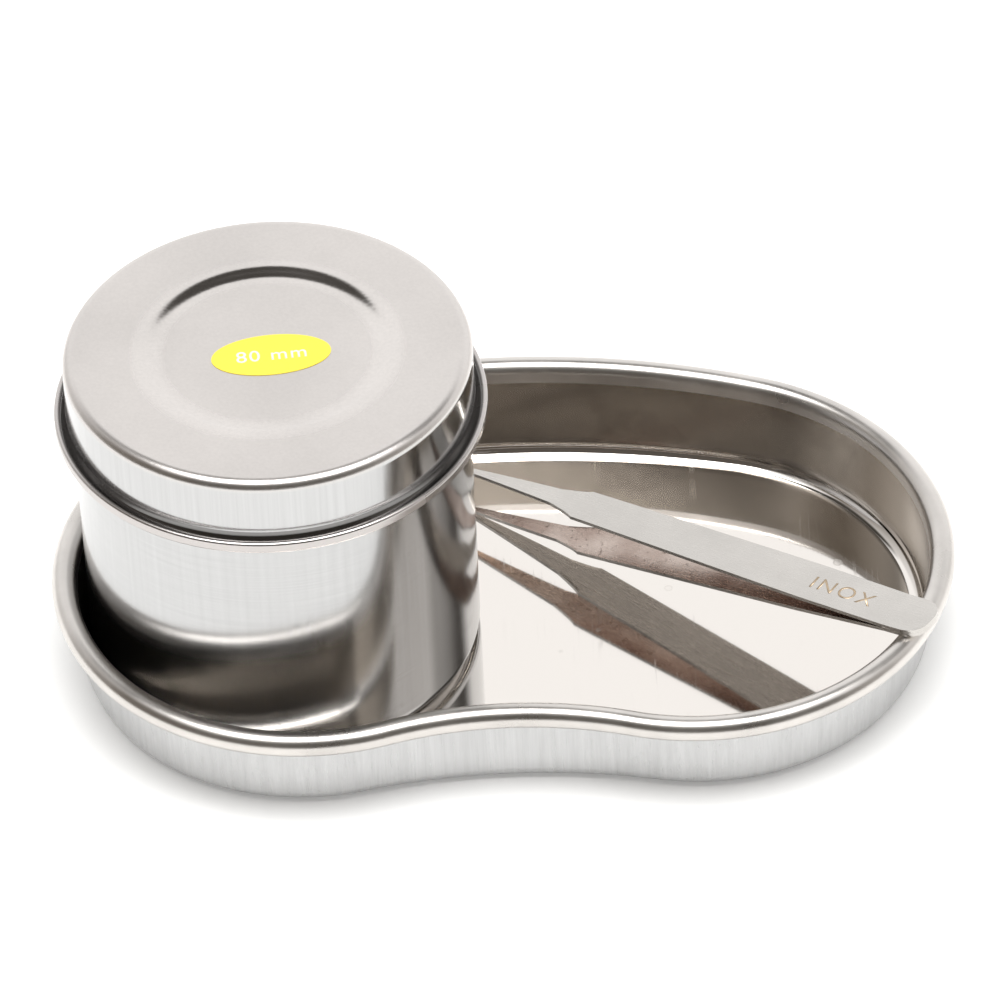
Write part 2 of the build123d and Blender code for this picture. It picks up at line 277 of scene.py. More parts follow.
def kidney_outline(tray, radii, inset):
    """One closed kidney outline as points, made by turning a point through the six arcs."""
    end, corner, back, front = radii
    arcs, start = kidney_arcs(tray, (end - inset, corner - inset, back - inset, front + inset))
    bm = bmesh.new()
    bmesh.ops.create_vert(bm, co=start)
    for (x, y, turn, _), steps in zip(arcs, kidney_steps(tray)):
        bm.verts.ensure_lookup_table()
        spin(bm, [bm.verts[-1]], (x, y, 0), turn, steps, False)
    points = [vert.co.copy() for vert in bm.verts][:-1]
    bm.free()
    return points


def grow_loop(bm, loop, edges, points, finish):
    """Extrudes a closed loop of edges, with a finish, and puts the new loop on the points."""
    grown = bmesh.ops.extrude_edge_only(bm, edges=edges)["geom"]
    for item in grown:
        if isinstance(item, bmesh.types.BMFace):
            item.material_index = finish
    fresh = {item for item in grown if isinstance(item, bmesh.types.BMVert)}
    new_edges = [item for item in grown if isinstance(item, bmesh.types.BMEdge)
                 and item.verts[0] in fresh and item.verts[1] in fresh]
    new_loop = [next(edge.other_vert(vert) for edge in vert.link_edges
                     if edge.other_vert(vert) in fresh) for vert in loop]
    for vert, point in zip(new_loop, points):
        vert.co = point
    return new_loop, new_edges


def build_tray(tray):
    """Pressed sheet: flat floor, coved wall and a bead rolled outwards."""
    rim = (tray.rim_end, tray.rim_corner, tray.rim_back, tray.rim_front)
    base = (tray.base_end, tray.base_corner, tray.base_back, tray.base_front)
    bead_radius = tray.bead / 2
    wall_top = TRAY_TOP - bead_radius
    outside_cove = tray.cove + tray.sheet
    floor = tray.sheet

    def outline(radii, inset, height):
        return [Vector((point.x, point.y, height)) for point in kidney_outline(tray, radii, inset)]

    def lean(foot_inset, top_inset):
        foot, top = outline(base, foot_inset, 0), outline(rim, top_inset, 0)
        return [high - low for low, high in zip(foot, top)]

    inside_lean = lean(tray.sheet, tray.bead)
    outside_lean = lean(0, tray.bead - tray.sheet)

    def leaning(inset, height, share, leans):
        return [point + way * share for point, way in zip(outline(base, inset, height), leans)]

    def inside(inset, height):
        return leaning(tray.sheet + inset, height, (height - floor) / (wall_top - floor), inside_lean)

    def outside(inset, height):
        return leaning(inset, height, height / wall_top, outside_lean)

    def bead(radius, turn):
        return outline(rim, bead_radius - radius * math.cos(turn), wall_top + radius * math.sin(turn))

    cove_turns = [QUARTER * part / 8 for part in range(9)]
    floor_gaps = (8 * MM, 1 * MM, 0.1 * MM)
    wall_shares = (0.1, 0.3, 0.6, 0.9)
    within = [outline(base, tray.sheet + tray.cove + gap, floor) for gap in floor_gaps]
    for turn in cove_turns:
        within.append(inside(tray.cove * (1 - math.sin(turn)),
                             floor + tray.cove * (1 - math.cos(turn))))
    for share in wall_shares:
        within.append(inside(0, floor + tray.cove + share * (wall_top - floor - tray.cove)))
    bead_turns = [math.pi - tray.bead_closing * part / 40 for part in range(41)]
    rolled = [bead(bead_radius, turn) for turn in bead_turns]
    rolled += [bead(bead_radius - tray.sheet, turn) for turn in reversed(bead_turns)]
    around = [outside(0, outside_cove + share * (wall_top - outside_cove))
              for share in wall_shares[::-1]]
    for turn in cove_turns[::-1]:
        around.append(outside(outside_cove * (1 - math.sin(turn)),
                              outside_cove * (1 - math.cos(turn))))
    around += [outline(base, outside_cove + gap, 0) for gap in floor_gaps[::-1]]

    bm = bmesh.new()
    loop = [bmesh.ops.create_vert(bm, co=point)["vert"][0] for point in within[0]]
    edges = [bm.edges.new(pair) for pair in zip(loop, loop[1:] + loop[:1])]
    bmesh.ops.contextual_create(bm, geom=edges)
    for finish, stations in ((INSIDE, within[1:]), (BEAD, rolled), (OUTSIDE, around)):
        for points in stations:
            loop, edges = grow_loop(bm, loop, edges, points, finish)
    for face in bmesh.ops.contextual_create(bm, geom=edges)["faces"]:
        face.material_index = OUTSIDE
    bmesh.ops.recalc_face_normals(bm, faces=bm.faces)
    return bm


def turned(profile, steps, axis_place):
    """A closed shell turned from a profile of (radius, height) points."""
    bm = bmesh.new()
    points = [bmesh.ops.create_vert(bm, co=(radius, 0, height))["vert"][0]
              for radius, height in profile]
    edges = [bm.edges.new(pair) for pair in zip(points, points[1:])]
    spin(bm, points + edges, (0, 0, 0), math.tau, steps, True)
    bmesh.ops.remove_doubles(bm, verts=bm.verts, dist=1e-7)
    bmesh.ops.recalc_face_normals(bm, faces=bm.faces)
    bmesh.ops.translate(bm, verts=bm.verts, vec=axis_place)
    return bm


def arc_points(centre, radius, start, turn, parts):
    """Points along an arc of a profile, ends included."""
    return [(centre[0] + radius * math.cos(start + turn * part / parts),
             centre[1] + radius * math.sin(start + turn * part / parts)) for part in range(parts + 1)]


def build_jar(jar):
    """Deep-drawn cup with a plain mouth."""
    radius = (JAR_HIGH.x - JAR_LOW.x) / 2
    height = JAR_HIGH.z - JAR_LOW.z
    sheet, rounding, mouth = jar.sheet, jar.base_rounding, jar.mouth_rounding
    outside = [(0, 0), (radius - rounding - 0.1 * MM, 0)]
    outside += arc_points((radius - rounding, rounding), rounding, -QUARTER, QUARTER, 10)
    outside += [(radius, rounding + 0.2 * MM), (radius, height / 2), (radius, height - 2 * mouth)]
    outside += arc_points((radius - mouth, height - mouth), mouth, 0, QUARTER, 4)
    inner = radius - sheet
    inside = arc_points((inner + mouth, height - mouth), mouth, QUARTER, QUARTER, 4)
    inside += [(inner, height - 2 * mouth), (inner, height / 2), (inner, rounding + 0.2 * MM)]
    small = rounding - sheet
    inside += arc_points((inner - small, sheet + small), small, 0, -QUARTER, 8)
    inside += [(inner - small - 0.1 * MM, sheet), (0, sheet)]
    return turned(outside + inside, jar.steps, (JAR_AXIS.x, JAR_AXIS.y, JAR_LOW.z))


def offset_path(points, distance):
    """The same path moved to its right-hand side by a distance."""
    moved = []
    for index, point in enumerate(points):
        before = Vector(points[max(index - 1, 0)])
        after = Vector(points[min(index + 1, len(points) - 1)])
        along = (after - before).normalized()
        moved.append((point[0] + along.y * distance, point[1] - along.x * distance))
    return moved


def build_lid(lid):
    """Drawn cap: recessed top, rounded edge, straight skirt, flare and folded lip."""
    depth = LID_HIGH.z - LID_LOW.z
    slope_turn = 2 * math.atan2(lid.recess_depth, lid.recess_slope)
    slope_radius = lid.recess_slope / 2 / math.sin(slope_turn)
    lip_radius = lid.lip_width / 2
    lip_middle = -depth + lid.lip_height / 2
    flare_out = lid.flare_radius * (1 - math.cos(lid.flare_turn))
    flare_start = lip_middle + lid.flare_radius * math.sin(lid.flare_turn)
    hair = 0.05 * MM
    path = [(0, -lid.recess_depth), (lid.recess_radius - hair, -lid.recess_depth)]
    path += arc_points((lid.recess_radius, slope_radius - lid.recess_depth), slope_radius,
                       -QUARTER, slope_turn, 8)
    path += arc_points((lid.recess_radius + lid.recess_slope, -slope_radius), slope_radius,
                       QUARTER + slope_turn, -slope_turn, 8)[1:]
    path += [(lid.recess_radius + lid.recess_slope + hair, 0),
             (lid.radius - lid.edge_rounding - hair, 0)]
    path += arc_points((lid.radius - lid.edge_rounding, -lid.edge_rounding), lid.edge_rounding,
                       QUARTER, -QUARTER, 12)
    path += [(lid.radius, -lid.edge_rounding - hair), (lid.radius, flare_start + hair)]
    path += arc_points((lid.radius + lid.flare_radius, flare_start), lid.flare_radius,
                       math.pi, lid.flare_turn, 10)
    under = offset_path(path, lid.sheet)
    lip_x = lid.radius + flare_out + lip_radius
    straight = lid.lip_height / 2 - lip_radius
    lip = [(lip_x - lip_radius, lip_middle + straight / 2)]
    lip += arc_points((lip_x, lip_middle + straight), lip_radius, math.pi, -math.pi, 12)
    lip += arc_points((lip_x, lip_middle - straight), lip_radius, 0, -math.pi, 12)
    profile = path + lip + under[::-1]
    profile[-1] = (0, profile[-1][1])
    return turned(profile, lid.steps, (JAR_AXIS.x, JAR_AXIS.y, LID_HIGH.z))


def label_place(lid):
    """From a flat drawing at the origin to the label's underside."""
    middle = (LABEL_LOW + LABEL_HIGH) / 2
    spot = Matrix.Translation((middle.x, middle.y, LABEL_LOW.z))
    return spot @ Matrix.Rotation(lid.label_turn, 4, "Z")


def build_label(lid):
    """Thin oval sticker with a softened edge."""
    bm = bmesh.new()
    box = LABEL_HIGH - LABEL_LOW
    cosine, sine = math.cos(lid.label_turn) ** 2, math.sin(lid.label_turn) ** 2
    width = math.sqrt((box.x ** 2 * cosine - box.y ** 2 * sine) / (cosine ** 2 - sine ** 2))
    height = math.sqrt((box.y ** 2 * cosine - box.x ** 2 * sine) / (cosine ** 2 - sine ** 2))
    disc = bmesh.ops.create_circle(bm, cap_ends=True, segments=160, radius=0.5)["verts"]
    bmesh.ops.scale(bm, vec=(width, height, 1), verts=disc)
    top = bmesh.ops.extrude_face_region(bm, geom=list(bm.faces))["geom"]
    risen = [item for item in top if isinstance(item, bmesh.types.BMVert)]
    bmesh.ops.translate(bm, vec=(0, 0, box.z), verts=risen)
    upper_edges = [e for e in bm.edges if all(v.co.z > box.z / 2 for v in e.verts)]
    bmesh.ops.bevel(bm, geom=upper_edges, offset=box.z * 0.4, offset_type="OFFSET", segments=2,
                    profile=0.5, affect="EDGES", material=-1)
    bmesh.ops.recalc_face_normals(bm, faces=bm.faces)
    bmesh.ops.transform(bm, matrix=label_place(lid), verts=bm.verts)
    return bm


def text_mesh(body, letter, depth, place, spacing=1.0, bold=0.0):
    """Solid letters from Blender's own font, middle at the origin, moved to a place."""
    curve = bpy.data.curves.new("letters", "FONT")
    curve.body = body
    curve.size = letter / 0.7
    curve.align_x = "CENTER"
    curve.align_y = "CENTER"
    curve.extrude = depth / 2
    curve.offset = bold
    curve.space_character = spacing
    curve.resolution_u = 6
    letters = bpy.data.objects.new("letters", curve)
    mesh = bpy.data.meshes.new_from_object(letters)
    bm = bmesh.new()
    bm.from_mesh(mesh)
    bpy.data.objects.remove(letters)
    bpy.data.curves.remove(curve)
    bpy.data.meshes.remove(mesh)
    bmesh.ops.remove_doubles(bm, verts=bm.verts, dist=1e-8)
    low = Vector([min(v.co[i] for v in bm.verts) for i in range(3)])
    high = Vector([max(v.co[i] for v in bm.verts) for i in range(3)])
    bmesh.ops.translate(bm, vec=-(low + high) / 2, verts=bm.verts)
    bmesh.ops.transform(bm, matrix=place, verts=bm.verts)
    return bm


def arm_half_width(arm, x):
    """Half the arm's width at a distance from the butt."""
    half_butt = arm.butt_width / 2
    if x < arm.butt_rounding:
        rounding = arm.butt_rounding
        return half_butt - rounding + math.sqrt(max(rounding ** 2 - (rounding - x) ** 2, 0))
    tip_at = arm.reach - arm.tip_width / 2
    stations = ((0, arm.butt_width, 1), (arm.grip_at, arm.grip_width, 1),
                (arm.neck_at, arm.neck_width, NECK_SWELL), (arm.shank_at, arm.shank_width, 1),
                (tip_at, arm.tip_width, 1))
    for (start, width, power), (end, next_width, _) in zip(stations, stations[1:]):
        if x < end:
            return (width + (next_width - width) * ((x - start) / (end - start)) ** power) / 2
    return math.sqrt(max((arm.tip_width / 2) ** 2 - (x - tip_at) ** 2, (0.05 * arm.tip_width) ** 2))


def arm_height(arm, x):
    """Height of the upper arm's inner face above the middle plane."""
    if x < arm.weld:
        return 0.0
    root_end = arm.weld + arm.root_bend * math.sin(arm.splay)
    if x < root_end:
        return arm.root_bend - math.sqrt(arm.root_bend ** 2 - (x - arm.weld) ** 2)
    root_rise = arm.root_bend * (1 - math.cos(arm.splay))
    bend_at = root_end + arm.return_at - arm.weld
    if x < bend_at:
        return root_rise + (x - root_end) * math.tan(arm.splay)
    bend_rise = root_rise + (bend_at - root_end) * math.tan(arm.splay)
    centre = Vector((bend_at + arm.return_radius * math.sin(arm.splay),
                     bend_rise - arm.return_radius * math.cos(arm.splay)))
    rest = arm.splay - arm.return_turn
    bend_end = centre.x - arm.return_radius * math.sin(rest)
    if x < bend_end:
        return centre.y + math.sqrt(arm.return_radius ** 2 - (x - centre.x) ** 2)
    return centre.y + arm.return_radius * math.cos(rest) + (x - bend_end) * math.tan(rest)


def arm_place(arm):
    """From the butt at the origin, tips along +X, to where the tweezers lie."""
    hinge = Vector(SQUEEZE["pos_m"])
    across = Vector(SQUEEZE["axis"])
    heading = math.atan2(-across.x, across.y)
    hinge_x = arm.weld + arm.root_bend * math.sin(arm.splay)
    tip_x = arm.reach
    tip_z = arm_height(arm, tip_x) + arm.sheet
    drop = hinge.z - ARM_BOTTOM
    pitch = math.asin(drop / math.hypot(tip_x - hinge_x, tip_z)) - math.atan2(tip_z, tip_x - hinge_x)
    turn = Matrix.Rotation(heading, 4, "Z") @ Matrix.Rotation(pitch, 4, "Y")
    return Matrix.Translation(hinge) @ turn @ Matrix.Translation((-hinge_x, 0, 0))


def build_arm(arm, side):
    """One spring arm; side is 1 for the upper arm and -1 for the lower."""
    bm = bmesh.new()
    tip_at = arm.reach - arm.tip_width / 2
    columns = [arm.butt_rounding * (1 - math.cos(QUARTER * i / 14)) for i in range(14)]
    for first, last, count in ((arm.butt_rounding, arm.weld, 3), (arm.weld, arm.weld + 0.7 * MM, 4),
                               (arm.weld + 0.7 * MM, arm.neck_at, 26), (arm.neck_at, arm.shank_at, 16),
                               (arm.shank_at, tip_at, 14)):
        columns += [first + (last - first) * i / count for i in range(count)]
    columns += [tip_at + arm.tip_width / 2 * math.sin(QUARTER * i / 6) for i in range(7)]
    rows = 8
    bmesh.ops.create_grid(bm, x_segments=len(columns) - 1, y_segments=rows, size=0.5)
    for vert in bm.verts:
        x = columns[round((vert.co.x + 0.5) * (len(columns) - 1))]
        half = arm_half_width(arm, x)
        vert.co = (x, 2 * vert.co.y * half, side * arm_height(arm, x))
    bmesh.ops.recalc_face_normals(bm, faces=bm.faces)
    if sum(face.normal.z for face in bm.faces) * side <= 0:
        bmesh.ops.reverse_faces(bm, faces=bm.faces)
    bmesh.ops.solidify(bm, geom=bm.faces[:], thickness=-arm.sheet)
    bmesh.ops.recalc_face_normals(bm, faces=bm.faces)
    bm.normal_update()
    for face in bm.faces:
        face.material_index = 1 if face.normal.z * side < -0.5 else 0
    sharp = [edge for edge in bm.edges
             if edge.is_manifold and edge.calc_face_angle(0) > math.radians(60)]
    bmesh.ops.bevel(bm, geom=sharp, offset=arm.edge, offset_type="OFFSET", segments=3, profile=0.5,
                    affect="EDGES", material=-1, clamp_overlap=True)
    bmesh.ops.transform(bm, matrix=arm_place(arm), verts=bm.verts)
    return bm


# ---- shader building blocks -------------------------------------------------------------


class Nodes:
    """Adds and wires nodes in one tree."""

    def __init__(self, tree):
        self.tree = tree

    def add(self, kind, values=None, **settings):
        node = self.tree.nodes.new(kind)
        for key, value in settings.items():
            setattr(node, key, value)
        for key, value in (values or {}).items():
            self.put(node.inputs[key], value)
        return node

    def put(self, socket, value):
        if isinstance(value, bpy.types.NodeSocket):
            self.tree.links.new(value, socket)
        else:
            socket.default_value = value

    def math(self, operation, *values, clamp=False):
        node = self.tree.nodes.new("ShaderNodeMath")
        node.operation = operation
        node.use_clamp = clamp
        for socket, value in zip(node.inputs, values):
            self.put(socket, value)
        return node.outputs[0]

    def ramp(self, factor, stops):
        node = self.tree.nodes.new("ShaderNodeValToRGB")
        elements = node.color_ramp.elements
        while len(elements) > len(stops):
            elements.remove(elements[-1])
        while len(elements) < len(stops):
            elements.new(1.0)
        for element, (place, value) in zip(elements, stops):
            element.position = place
            element.color = (*value, 1) if isinstance(value, tuple) else (value, value, value, 1)
        self.put(node.inputs["Fac"], factor)
        return node.outputs["Color"]

    def mix(self, factor, first, second):
        node = self.tree.nodes.new("ShaderNodeMix")
        node.data_type = "RGBA"
        self.put(node.inputs["Factor"], factor)
        self.put(node.inputs[6], first)
        self.put(node.inputs[7], second)
        return node.outputs[2]

    def noise(self, vector, scale, detail, roughness=0.5):
        node = self.add("ShaderNodeTexNoise", {"Vector": vector, "Scale": scale, "Detail": detail,
                                               "Roughness": roughness})
        return node.outputs["Fac"]

    def split(self, vector):
        node = self.add("ShaderNodeSeparateXYZ", {"Vector": vector})
        return [node.outputs[axis] for axis in "XYZ"]

    def join(self, x, y, z):
        return self.add("ShaderNodeCombineXYZ", {"X": x, "Y": y, "Z": z}).outputs["Vector"]

    def paint(self, shader, tone):
        self.put(shader.inputs["Base Color"], tone)

    def roughen(self, shader, roughness):
        self.put(shader.inputs["Roughness"], roughness)

    def bump(self, shader, height, strength, distance=GRAIN_DEPTH):
        node = self.add("ShaderNodeBump", {"Strength": strength, "Distance": distance,
                                           "Height": height})
        self.put(shader.inputs["Normal"], node.outputs["Normal"])


def new_group(name, inputs, outputs):
    """An empty shader node group with named sockets."""
    tree = bpy.data.node_groups.new(name, "ShaderNodeTree")
    for label, kind, value in inputs:
        socket = tree.interface.new_socket(name=label, in_out="INPUT", socket_type=kind)
        if value is not None:
            socket.default_value = value
    for label, kind in outputs:
        tree.interface.new_socket(name=label, in_out="OUTPUT", socket_type=kind)
    nodes = Nodes(tree)
    given = nodes.add("NodeGroupInput")
    result = nodes.add("NodeGroupOutput")
    return tree, nodes, given, result


def scratch_group():
    """Fine hairlines in many directions: a mask from 0 to 1."""
    tree, nodes, given, result = new_group(
        "hairline_scratches",
        [("Vector", "NodeSocketVector", None), ("Scale", "NodeSocketFloat", 60.0),
         ("Cover", "NodeSocketFloat", 0.5)],
        [("Mask", "NodeSocketFloat")])
    masks = []
    for index, turn in enumerate((12, 47, 80, 118, 155)):
        mapped = nodes.add("ShaderNodeMapping", {
            "Vector": given.outputs["Vector"],
            "Rotation": (0, 0, math.radians(turn)),
            "Location": (index * 1.7, index * 0.9, index * 0.3),
            "Scale": (1.0, 0.02, 1.0)})
        noise = nodes.noise(mapped.outputs["Vector"], given.outputs["Scale"], 3.0, 0.6)
        line = nodes.math("ABSOLUTE", nodes.math("SUBTRACT", noise, 0.5))
        reach = nodes.math("MULTIPLY", given.outputs["Cover"], 0.004)
        masks.append(nodes.math("LESS_THAN", line, reach))
    total = masks[0]
    for mask in masks[1:]:
        total = nodes.math("ADD", total, mask)
    kept = nodes.ramp(nodes.noise(given.outputs["Vector"], 90.0, 2.0), ((0.50, 0.0), (0.62, 1.0)))
    total = nodes.math("MULTIPLY", total, kept, clamp=True)
    nodes.put(result.inputs["Mask"], total)
    return tree


def brush_group():
    """Parallel brushing along one axis of the given vector: a height around 0.5."""
    tree, nodes, given, result = new_group(
        "parallel_brushing",
        [("Vector", "NodeSocketVector", None), ("Across", "NodeSocketFloat", 2500.0),
         ("Along", "NodeSocketFloat", 30.0)],
        [("Height", "NodeSocketFloat")])
    rates = ("Along", "Across", "Across")
    stretched = [nodes.math("MULTIPLY", part, given.outputs[rate])
                 for part, rate in zip(nodes.split(given.outputs["Vector"]), rates)]
    nodes.put(result.inputs["Height"], nodes.noise(nodes.join(*stretched), 1.0, 4.0, 0.7))
    return tree


def tone_group():
    """Multiplies a colour by a value that wanders round one."""
    tree, nodes, given, result = new_group(
        "tone_drift",
        [("Color", "NodeSocketColor", (1, 1, 1, 1)), ("Value", "NodeSocketFloat", 0.5),
         ("Depth", "NodeSocketFloat", 0.2)],
        [("Color", "NodeSocketColor")])
    swing = nodes.math("SUBTRACT", given.outputs["Value"], 0.5)
    gain = nodes.math("MULTIPLY_ADD", swing, given.outputs["Depth"], 1.0)
    scaled = nodes.add("ShaderNodeVectorMath", operation="SCALE")
    nodes.put(scaled.inputs[0], given.outputs["Color"])
    nodes.put(scaled.inputs["Scale"], gain)
    nodes.put(result.inputs["Color"], scaled.outputs[0])
    return tree


def spot_group():
    """Dried water spots: pale rings of several sizes, as a mask from 0 to 1."""
    tree, nodes, given, result = new_group(
        "water_spots",
        [("Vector", "NodeSocketVector", None), ("Scale", "NodeSocketFloat", 120.0),
         ("Share", "NodeSocketFloat", 0.3)],
        [("Mask", "NodeSocketFloat")])
    cells = nodes.add("ShaderNodeTexVoronoi", {"Vector": given.outputs["Vector"],
                                               "Scale": given.outputs["Scale"], "Randomness": 1.0})
    pick = nodes.add("ShaderNodeSeparateColor", {"Color": cells.outputs["Color"]})
    size = nodes.math("MULTIPLY_ADD", pick.outputs["Red"], 0.16, 0.05)
    ring = nodes.math("ABSOLUTE", nodes.math("SUBTRACT", cells.outputs["Distance"], size))
    ring = nodes.math("SUBTRACT", 1.0, nodes.math("DIVIDE", ring, 0.04), clamp=True)
    inside = nodes.math("MULTIPLY", nodes.math("LESS_THAN", cells.outputs["Distance"], size), 0.35)
    spot = nodes.math("MAXIMUM", ring, inside)
    chosen = nodes.math("LESS_THAN", pick.outputs["Green"], given.outputs["Share"])
    nodes.put(result.inputs["Mask"], nodes.math("MULTIPLY", spot, chosen))
    return tree


def cloud_group():
    """Soft uneven polish: a value around 0.5 that changes slowly."""
    tree, nodes, given, result = new_group(
        "uneven_polish",
        [("Vector", "NodeSocketVector", None), ("Scale", "NodeSocketFloat", 20.0)],
        [("Value", "NodeSocketFloat")])
    noise = nodes.noise(given.outputs["Vector"], given.outputs["Scale"], 5.0, 0.55)
    nodes.put(result.inputs["Value"], noise)
    return tree


class Shelf:
    """The shared node groups, built once."""

    groups = {}

    @classmethod
    def group(cls, nodes, name, **values):
        makers = {"hairline_scratches": scratch_group, "parallel_brushing": brush_group,
                  "water_spots": spot_group, "uneven_polish": cloud_group, "tone_drift": tone_group}
        if name not in cls.groups:
            cls.groups[name] = makers[name]()
        node = nodes.add("ShaderNodeGroup", node_tree=cls.groups[name])
        for key, value in values.items():
            nodes.put(node.inputs[key], value)
        return node.outputs[0]

    @classmethod
    def drift(cls, nodes, base, value, depth):
        """A colour that drifts with a value."""
        base = base if isinstance(base, bpy.types.NodeSocket) else (*base, 1)
        return cls.group(nodes, "tone_drift", Color=base, Value=value, Depth=depth)


def new_material(name):
    """An empty material with its Principled shader, and the object's coordinates."""
    material = bpy.data.materials.new(name)
    material.use_nodes = True
    nodes = Nodes(material.node_tree)
    shader = material.node_tree.nodes["Principled BSDF"]
    place = nodes.add("ShaderNodeTexCoord").outputs["Object"]
    return material, nodes, shader, place


def steel(name, colour_value, roughness):
    """A steel material's parts: base colour and roughness are set, the rest is left to the caller."""
    material, nodes, shader, place = new_material(name)
    shader.inputs["Metallic"].default_value = 1.0
    shader.inputs["Base Color"].default_value = (*colour_value, 1)
    shader.inputs["Roughness"].default_value = roughness
    return material, nodes, shader, place


def polar(nodes, place, centre):
    """Cylinder coordinates about an upright axis: angle in turns, radius and height."""
    shifted = nodes.add("ShaderNodeVectorMath", operation="SUBTRACT")
    nodes.put(shifted.inputs[0], place)
    shifted.inputs[1].default_value = centre
    x, y, z = nodes.split(shifted.outputs[0])
    around = nodes.math("DIVIDE", nodes.math("ARCTAN2", y, x), math.tau)
    radius = nodes.math("SQRT", nodes.math("MULTIPLY_ADD", x, x, nodes.math("MULTIPLY", y, y)))
    return around, radius, z


def tray_inside_material(tray):
    """Polished inside with water spots, hairlines and a slightly wavy floor; the wall is painted a
    darker brown as a painted reflection, with darker brown blotches.
    """
    material, nodes, shader, place = steel("tray_inside_steel", tray.steel, tray.roughness)
    cloud = Shelf.group(nodes, "uneven_polish", Vector=place, Scale=35.0)
    spots = Shelf.group(nodes, "water_spots", Vector=place, Scale=170.0, Share=0.08)
    lines = Shelf.group(nodes, "hairline_scratches", Vector=place, Scale=60.0, Cover=0.5)
    height = nodes.split(place)[2]
    wall = nodes.ramp(nodes.math("MULTIPLY", height, 100.0), ((0.25, 0.0), (0.5, 1.0)))
    rough = nodes.math("MULTIPLY_ADD", cloud, 0.06, tray.roughness - 0.03)
    rough = nodes.math("MULTIPLY_ADD", wall, tray.wall_haze, rough)
    rough = nodes.math("MULTIPLY_ADD", spots, 0.15, rough)
    on_floor = nodes.math("SUBTRACT", 1.0, wall)
    rough = nodes.math("MULTIPLY_ADD", nodes.math("MULTIPLY", lines, on_floor), 0.10, rough)
    nodes.roughen(shader, rough)
    # Darker brown blotches, on the wall only.
    wall_blotch = nodes.ramp(nodes.noise(place, 55.0, 6.0, 0.7), ((0.50, 0.0), (0.62, 1.0)))
    wall_blotch_mask = nodes.math("MULTIPLY", wall_blotch, wall)
    # Painted reflection: the wall above the cove is painted a darker brown than the floor.
    plain = nodes.mix(wall, (*tray.steel, 1), (0.52, 0.47, 0.41, 1))
    painted_wall_tone = nodes.mix(nodes.math("MULTIPLY", wall_blotch_mask, 0.45), plain, (0.34, 0.30, 0.255, 1))
    painted_wall_tone = nodes.mix(nodes.math("MULTIPLY", spots, 0.25), painted_wall_tone, (0.62, 0.58, 0.53, 1))
    nodes.paint(shader, painted_wall_tone)
    nodes.bump(shader, nodes.noise(place, 25.0, 1.0), 0.05, 1 * MM)
    return material


def tray_outside_material(tray):
    """Satin outside with fine upright brushing."""
    material, nodes, shader, place = steel("tray_outside_steel", tray.outside_steel, 0.3)
    x, y, z = nodes.split(place)
    upright = nodes.join(z, x, y)
    grain = Shelf.group(nodes, "parallel_brushing", Vector=upright, Across=3000.0, Along=60.0)
    nodes.roughen(shader, nodes.math("MULTIPLY_ADD", grain, 0.2, 0.2))
    wide = Shelf.group(nodes, "parallel_brushing", Vector=upright, Across=500.0, Along=20.0)
    tone = Shelf.drift(nodes, tray.outside_steel, grain, 0.24)
    nodes.paint(shader, Shelf.drift(nodes, tone, wide, 0.35))
    nodes.bump(shader, grain, 0.15)
    return material


def bead_material(tray):
    """Soft bright rolled rim with uneven polish."""
    material, nodes, shader, place = steel("tray_bead_steel", tray.bead_steel, 0.24)
    cloud = Shelf.group(nodes, "uneven_polish", Vector=place, Scale=80.0)
    nodes.paint(shader, Shelf.drift(nodes, tray.bead_steel, cloud, 0.5))
    nodes.roughen(shader, nodes.math("MULTIPLY_ADD", cloud, 0.14, 0.22))
    return material


def jar_material(jar):
    """Polished wall with faint lines round it."""
    material, nodes, shader, place = steel("jar_steel", jar.steel, jar.roughness)
    around, radius, height = polar(nodes, place, JAR_AXIS)
    level = nodes.join(nodes.math("MULTIPLY", around, 0.2), height, radius)
    grain = Shelf.group(nodes, "parallel_brushing", Vector=level, Across=2500.0, Along=40.0)
    cloud = Shelf.group(nodes, "uneven_polish", Vector=place, Scale=40.0)
    upright = nodes.join(height, nodes.math("MULTIPLY", around, 0.25), radius)
    streak = Shelf.group(nodes, "parallel_brushing", Vector=upright, Across=700.0, Along=12.0)
    tone = Shelf.drift(nodes, jar.steel, streak, 0.20)
    nodes.paint(shader, Shelf.drift(nodes, tone, grain, 0.25))
    rough = nodes.math("MULTIPLY_ADD", cloud, 0.05, jar.roughness - 0.03)
    nodes.roughen(shader, nodes.math("MULTIPLY_ADD", grain, 0.05, rough))
    nodes.bump(shader, grain, 0.02)
    return material


